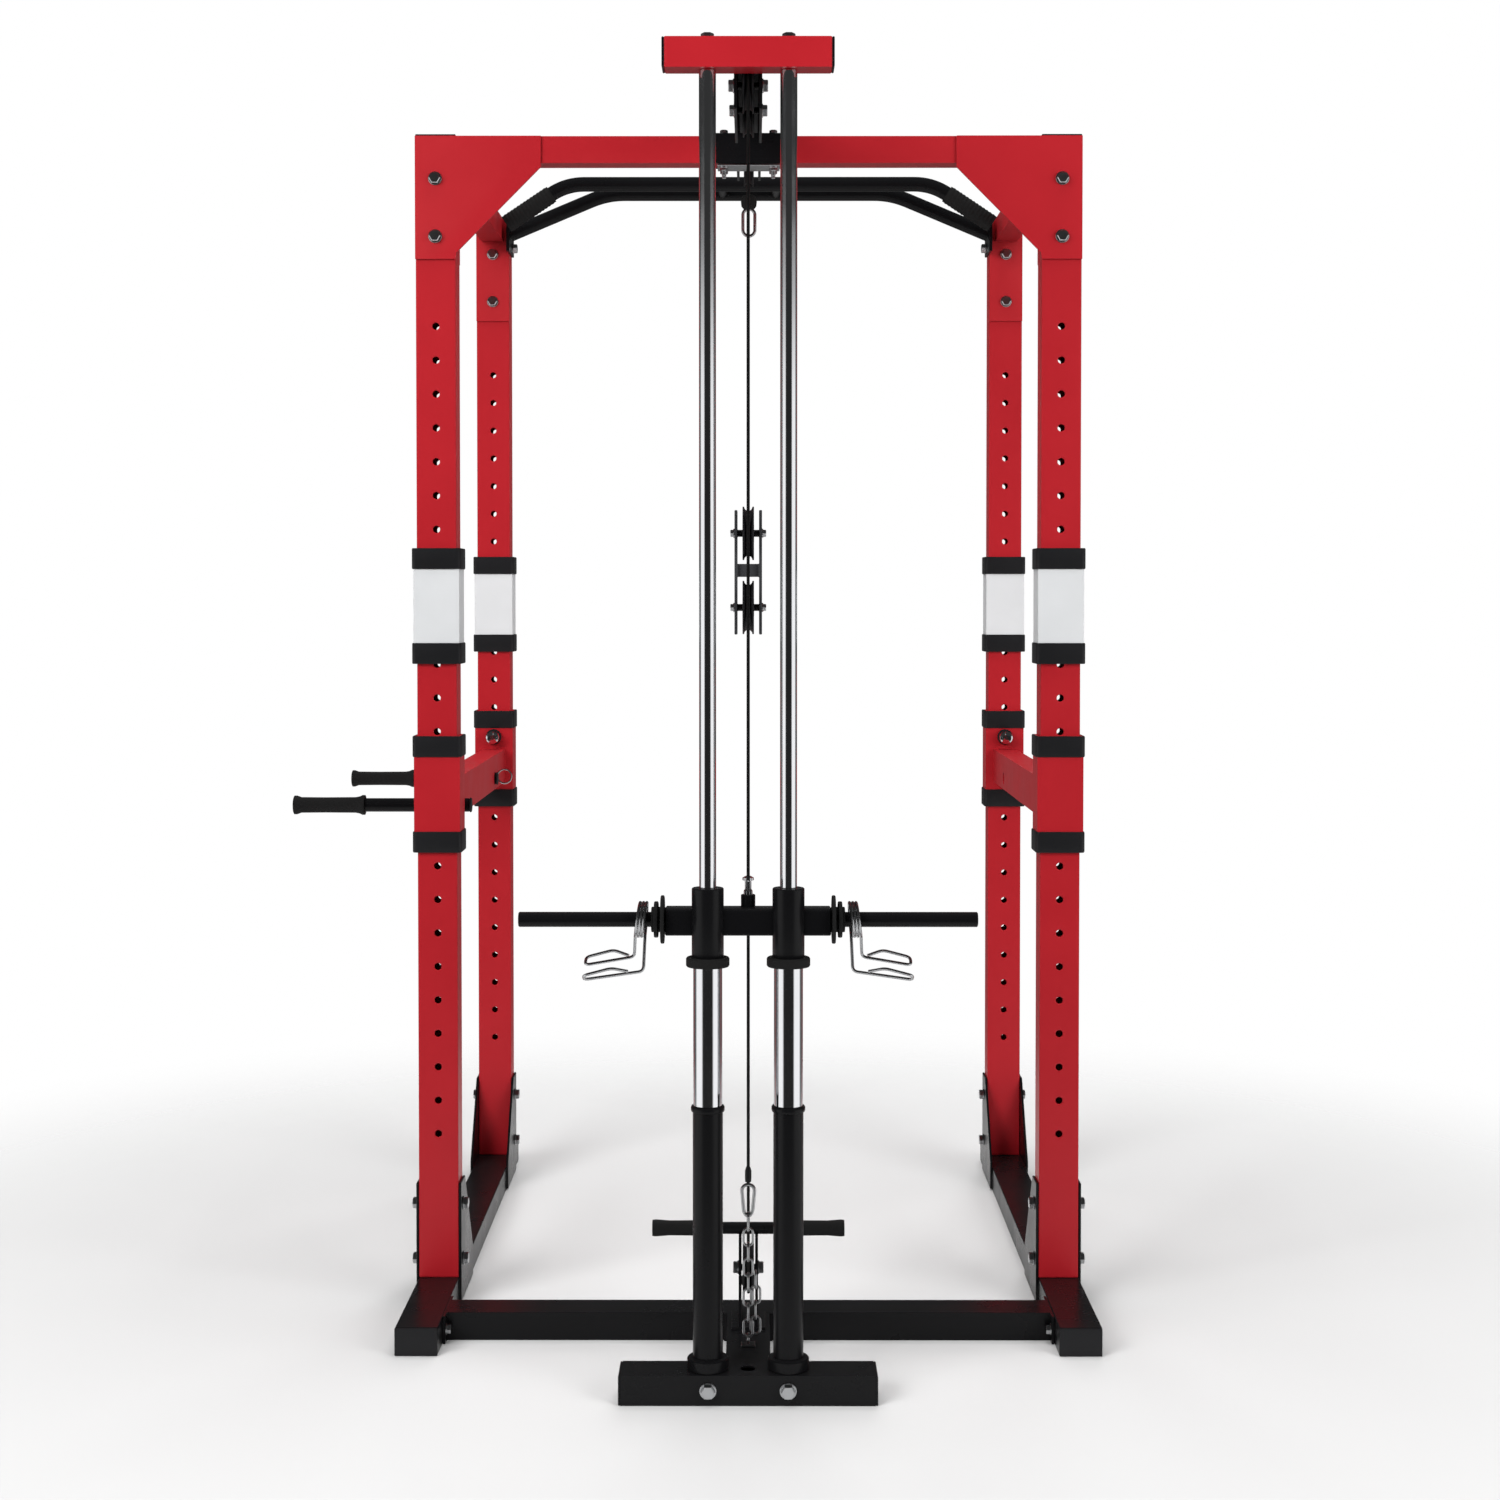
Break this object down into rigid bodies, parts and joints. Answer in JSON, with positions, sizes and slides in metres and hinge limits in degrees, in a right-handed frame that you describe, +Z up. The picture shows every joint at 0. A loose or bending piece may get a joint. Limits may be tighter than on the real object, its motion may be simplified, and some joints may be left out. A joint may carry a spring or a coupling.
{
  "type": "functional trainer",
  "caption": "Four-post rack with a gull-wing pull-up bar and safety bars, joined to a guide-rod tower with a plate-loaded carriage, lat cable and low row cable.",
  "frame": {"origin": "middle of the rear floor crossbeam's underside, at floor level", "axes": "+Z up, +Y from the cable tower into the rack, +X to the right when looking along +Y"},
  "size_m": [1.4955, 1.6445, 2.256],
  "materials": {
    "red_paint": "glossy red powder coat",
    "black_paint": "glossy black powder coat",
    "white_paint": "satin white powder coat",
    "chrome": "polished chrome",
    "zinc": "bright zinc plate",
    "grey_paint": "satin dark grey coat",
    "rubber": "matt black rubber",
    "nylon": "moulded black nylon",
    "cable_cover": "smooth black cable cover"
  },
  "bodies": {
    "frame": {"rear_floor_crossbeam": "black_paint", "pull_up_bar": "black_paint", "left_floor_rail": "black_paint", "right_floor_rail": "black_paint", "tower_base_frame": "black_paint", "boom_channel": "black_paint", "crossbeam_saddle": "black_paint", "low_pulley_bracket": "black_paint", "foot_bar": "black_paint", "left_stop_tube": "black_paint", "right_stop_tube": "black_paint", "rear_top_crossbeam": "red_paint", "left_top_rail": "red_paint", "right_top_rail": "red_paint", "tower_top_beam": "red_paint", "rear_left_upright": "red_paint", "rear_right_upright": "red_paint", "front_left_upright": "red_paint", "front_right_upright": "red_paint", "left_guide_rod": "chrome", "right_guide_rod": "chrome", "left_stop_sleeve": "chrome", "right_stop_sleeve": "chrome", "anchor_chain": "zinc", "anchor_carabiner": "zinc", "left_pull_up_grip": "rubber", "right_pull_up_grip": "rubber", "carriage_cable": "cable_cover", "first_pulley_cable": "cable_cover", "upper_loop_cable": "cable_cover", "boom_cable": "cable_cover", "lat_cable": "cable_cover", "lower_loop_cable": "cable_cover", "low_pulley_cable": "cable_cover"},
    "carriage": {"weight_carriage": "black_paint"},
    "left_collar": {"left_spring_collar": "chrome"},
    "right_collar": {"right_spring_collar": "chrome"},
    "lat_end": {"lat_cable_end": "rubber"},
    "low_end": {"low_cable_end": "rubber"},
    "floating_block": {"floating_pulley_block": "grey_paint"},
    "left_safety": {"left_safety_bar": "red_paint", "near_dip_handle": "black_paint", "far_dip_handle": "black_paint"},
    "right_safety": {"right_safety_bar": "red_paint"},
    "first_boom_pulley_sheave": {"first_boom_pulley": "nylon"},
    "second_boom_pulley_sheave": {"second_boom_pulley": "nylon"},
    "lat_pulley_sheave": {"lat_pulley": "nylon"},
    "floating_upper_pulley_sheave": {"floating_upper_pulley": "nylon"},
    "floating_lower_pulley_sheave": {"floating_lower_pulley": "nylon"},
    "low_pulley_sheave": {"low_pulley": "nylon"},
    "rear_left_sleeve": {"rear_left_slider": "white_paint"},
    "rear_left_pin": {"rear_left_pop_pin": "chrome"},
    "rear_right_sleeve": {"rear_right_slider": "white_paint"},
    "rear_right_pin": {"rear_right_pop_pin": "chrome"},
    "front_left_sleeve": {"front_left_slider": "white_paint"},
    "front_left_pin": {"front_left_pop_pin": "chrome"},
    "front_right_sleeve": {"front_right_slider": "white_paint"},
    "front_right_pin": {"front_right_pop_pin": "chrome"}
  },
  "joints": [
    {"name": "carriage_slide", "type": "slide", "parent": "frame", "child": "carriage", "axis": [0, 0, 1], "range_m": [0, 1.2], "deforming": ["carriage_cable"]},
    {"name": "lat_pull", "type": "slide", "parent": "frame", "child": "lat_end", "axis": [0, 0, 1], "range_m": [-1.2, 0], "deforming": ["lat_cable"]},
    {"name": "floating_block_slide", "type": "slide", "parent": "frame", "child": "floating_block", "axis": [0, 0, 1], "range_m": [-0.45, 0], "stiffness_N_per_m": 150, "springref_m": 0.6, "deforming": ["upper_loop_cable", "lower_loop_cable"]},
    {"name": "low_pull", "type": "slide", "parent": "frame", "child": "low_end", "axis": [0, 1, 0], "range_m": [0, 0.9]},
    {"name": "first_boom_pulley_spin", "type": "hinge", "parent": "frame", "child": "first_boom_pulley_sheave", "pos_m": [0, -0.261, 2.183], "axis": [1, 0, 0], "continuous": true},
    {"name": "second_boom_pulley_spin", "type": "hinge", "parent": "frame", "child": "second_boom_pulley_sheave", "pos_m": [0, -0.093, 2.177], "axis": [1, 0, 0], "continuous": true},
    {"name": "lat_pulley_spin", "type": "hinge", "parent": "frame", "child": "lat_pulley_sheave", "pos_m": [0, 0.465, 2.19], "axis": [1, 0, 0], "continuous": true},
    {"name": "floating_upper_pulley_spin", "type": "hinge", "parent": "floating_block", "child": "floating_upper_pulley_sheave", "pos_m": [0, -0.177, 1.439], "axis": [1, 0, 0], "continuous": true},
    {"name": "floating_lower_pulley_spin", "type": "hinge", "parent": "floating_block", "child": "floating_lower_pulley_sheave", "pos_m": [0, -0.177, 1.312], "axis": [1, 0, 0], "continuous": true},
    {"name": "low_pulley_spin", "type": "hinge", "parent": "frame", "child": "low_pulley_sheave", "pos_m": [0, -0.093, 0.148], "axis": [1, 0, 0], "continuous": true},
    {"name": "left_safety_height", "type": "slide", "parent": "frame", "child": "left_safety", "axis": [0, 0, 1], "range_m": [-0.504, 0.126]},
    {"name": "left_collar_slide", "type": "slide", "parent": "carriage", "child": "left_collar", "axis": [-1, 0, 0], "range_m": [0, 0.19]},
    {"name": "rear_left_sleeve_height", "type": "slide", "parent": "frame", "child": "rear_left_sleeve", "axis": [0, 0, 1], "range_m": [0, 0.504]},
    {"name": "rear_left_pin_pull", "type": "slide", "parent": "left_safety", "child": "rear_left_pin", "axis": [0, 1, 0], "range_m": [0, 0.012], "stiffness_N_per_m": 600, "springref_m": -0.008},
    {"name": "front_left_sleeve_height", "type": "slide", "parent": "frame", "child": "front_left_sleeve", "axis": [0, 0, 1], "range_m": [0, 0.504]},
    {"name": "front_left_pin_pull", "type": "slide", "parent": "left_safety", "child": "front_left_pin", "axis": [0, -1, 0], "range_m": [0, 0.012], "stiffness_N_per_m": 600, "springref_m": -0.008},
    {"name": "right_safety_height", "type": "slide", "parent": "frame", "child": "right_safety", "axis": [0, 0, 1], "range_m": [-0.504, 0.126]},
    {"name": "right_collar_slide", "type": "slide", "parent": "carriage", "child": "right_collar", "axis": [1, 0, 0], "range_m": [0, 0.19]},
    {"name": "rear_right_sleeve_height", "type": "slide", "parent": "frame", "child": "rear_right_sleeve", "axis": [0, 0, 1], "range_m": [0, 0.504]},
    {"name": "rear_right_pin_pull", "type": "slide", "parent": "right_safety", "child": "rear_right_pin", "axis": [0, 1, 0], "range_m": [0, 0.012], "stiffness_N_per_m": 600, "springref_m": -0.008},
    {"name": "front_right_sleeve_height", "type": "slide", "parent": "frame", "child": "front_right_sleeve", "axis": [0, 0, 1], "range_m": [0, 0.504]},
    {"name": "front_right_pin_pull", "type": "slide", "parent": "right_safety", "child": "front_right_pin", "axis": [0, -1, 0], "range_m": [0, 0.012], "stiffness_N_per_m": 600, "springref_m": -0.008}
  ],
  "couplings": [
    {"joint": "lat_pull", "follows": "carriage_slide", "ratio": -1},
    {"joint": "low_pull", "follows": "floating_block_slide", "ratio": -2},
    {"joint": "first_boom_pulley_spin", "follows": "carriage_slide", "rad_per_m": -23.809},
    {"joint": "second_boom_pulley_spin", "follows": "carriage_slide", "rad_per_m": -23.809},
    {"joint": "lat_pulley_spin", "follows": "carriage_slide", "rad_per_m": -23.809},
    {"joint": "floating_upper_pulley_spin", "follows": "carriage_slide", "rad_per_m": 23.809},
    {"joint": "floating_lower_pulley_spin", "follows": "floating_block_slide", "rad_per_m": 23.809},
    {"joint": "low_pulley_spin", "follows": "floating_block_slide", "rad_per_m": -47.619}
  ]
}
